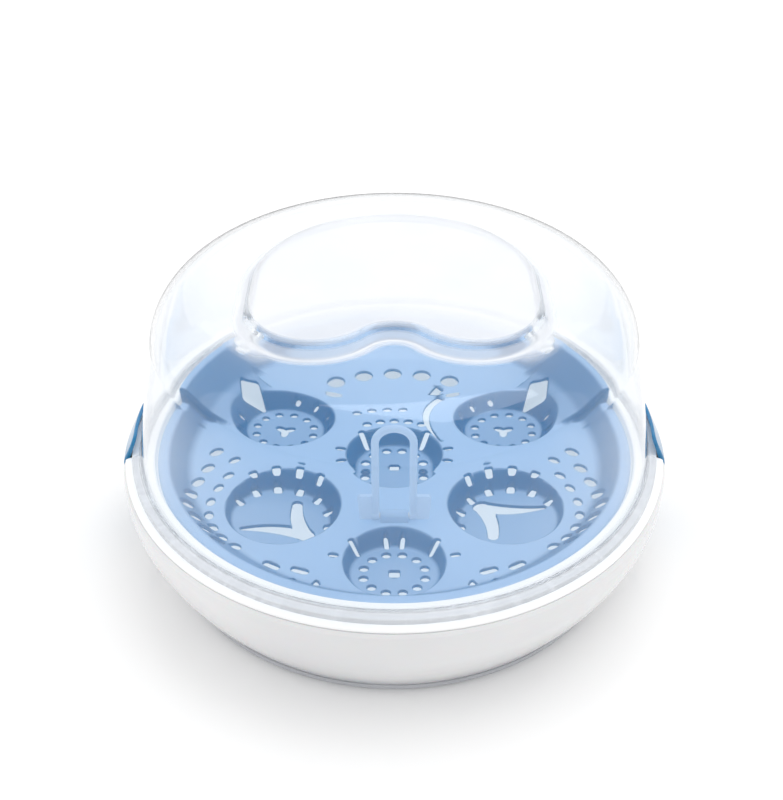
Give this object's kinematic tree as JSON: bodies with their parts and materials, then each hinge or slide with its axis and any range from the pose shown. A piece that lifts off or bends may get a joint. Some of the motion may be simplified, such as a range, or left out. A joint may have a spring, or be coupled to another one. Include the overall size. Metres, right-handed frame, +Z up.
{
  "type": "bottle sterilizer",
  "caption": "Round steam sterilizer for baby bottles: white base, perforated lift-out tray with a loop handle, clear domed lid and two side clips.",
  "frame": {"origin": "on the table under the centre of the base", "axes": "+Z up through the lid, -Y towards the front, where the hollow side of the kidney-shaped grip is"},
  "size_m": [0.2814, 0.2802, 0.1574],
  "materials": {
    "base_white": "gloss",
    "foot_grey": "matte",
    "lid_clear": "clear gloss",
    "tray_blue": "satin, slightly see-through",
    "clip_blue": "gloss",
    "pin_natural": "satin"
  },
  "bodies": {
    "base": {"base_shell": "base_white", "water_bowl": "base_white", "foot_ring": "foot_grey", "clip_pin_left": "pin_natural", "clip_pin_right": "pin_natural"},
    "tray": {"tray": "tray_blue"},
    "handle": {"tray_handle": "tray_blue", "handle_pin": "pin_natural"},
    "lid": {"lid": "lid_clear"},
    "clip_left": {"clip_left": "clip_blue"},
    "clip_right": {"clip_right": "clip_blue"}
  },
  "joints": [
    {"name": "tray_lift", "type": "slide", "parent": "base", "child": "tray", "axis": [0, 0, 1], "range_m": [0, 0.08]},
    {"name": "lid_lift", "type": "slide", "parent": "tray", "child": "lid", "axis": [0, 0, 1], "range_m": [0, 0.1]},
    {"name": "handle_fold", "type": "hinge", "parent": "tray", "child": "handle", "pos_m": [0, -0.054, 0.0528], "axis": [-1, 0, 0], "range_deg": [0, 88]},
    {"name": "clip_left_swing", "type": "hinge", "parent": "base", "child": "clip_left", "pos_m": [-0.1344, 0, 0.022], "axis": [0, -1, 0], "range_deg": [0, 100]},
    {"name": "clip_right_swing", "type": "hinge", "parent": "base", "child": "clip_right", "pos_m": [0.1344, 0, 0.022], "axis": [0, 1, 0], "range_deg": [0, 100]}
  ]
}
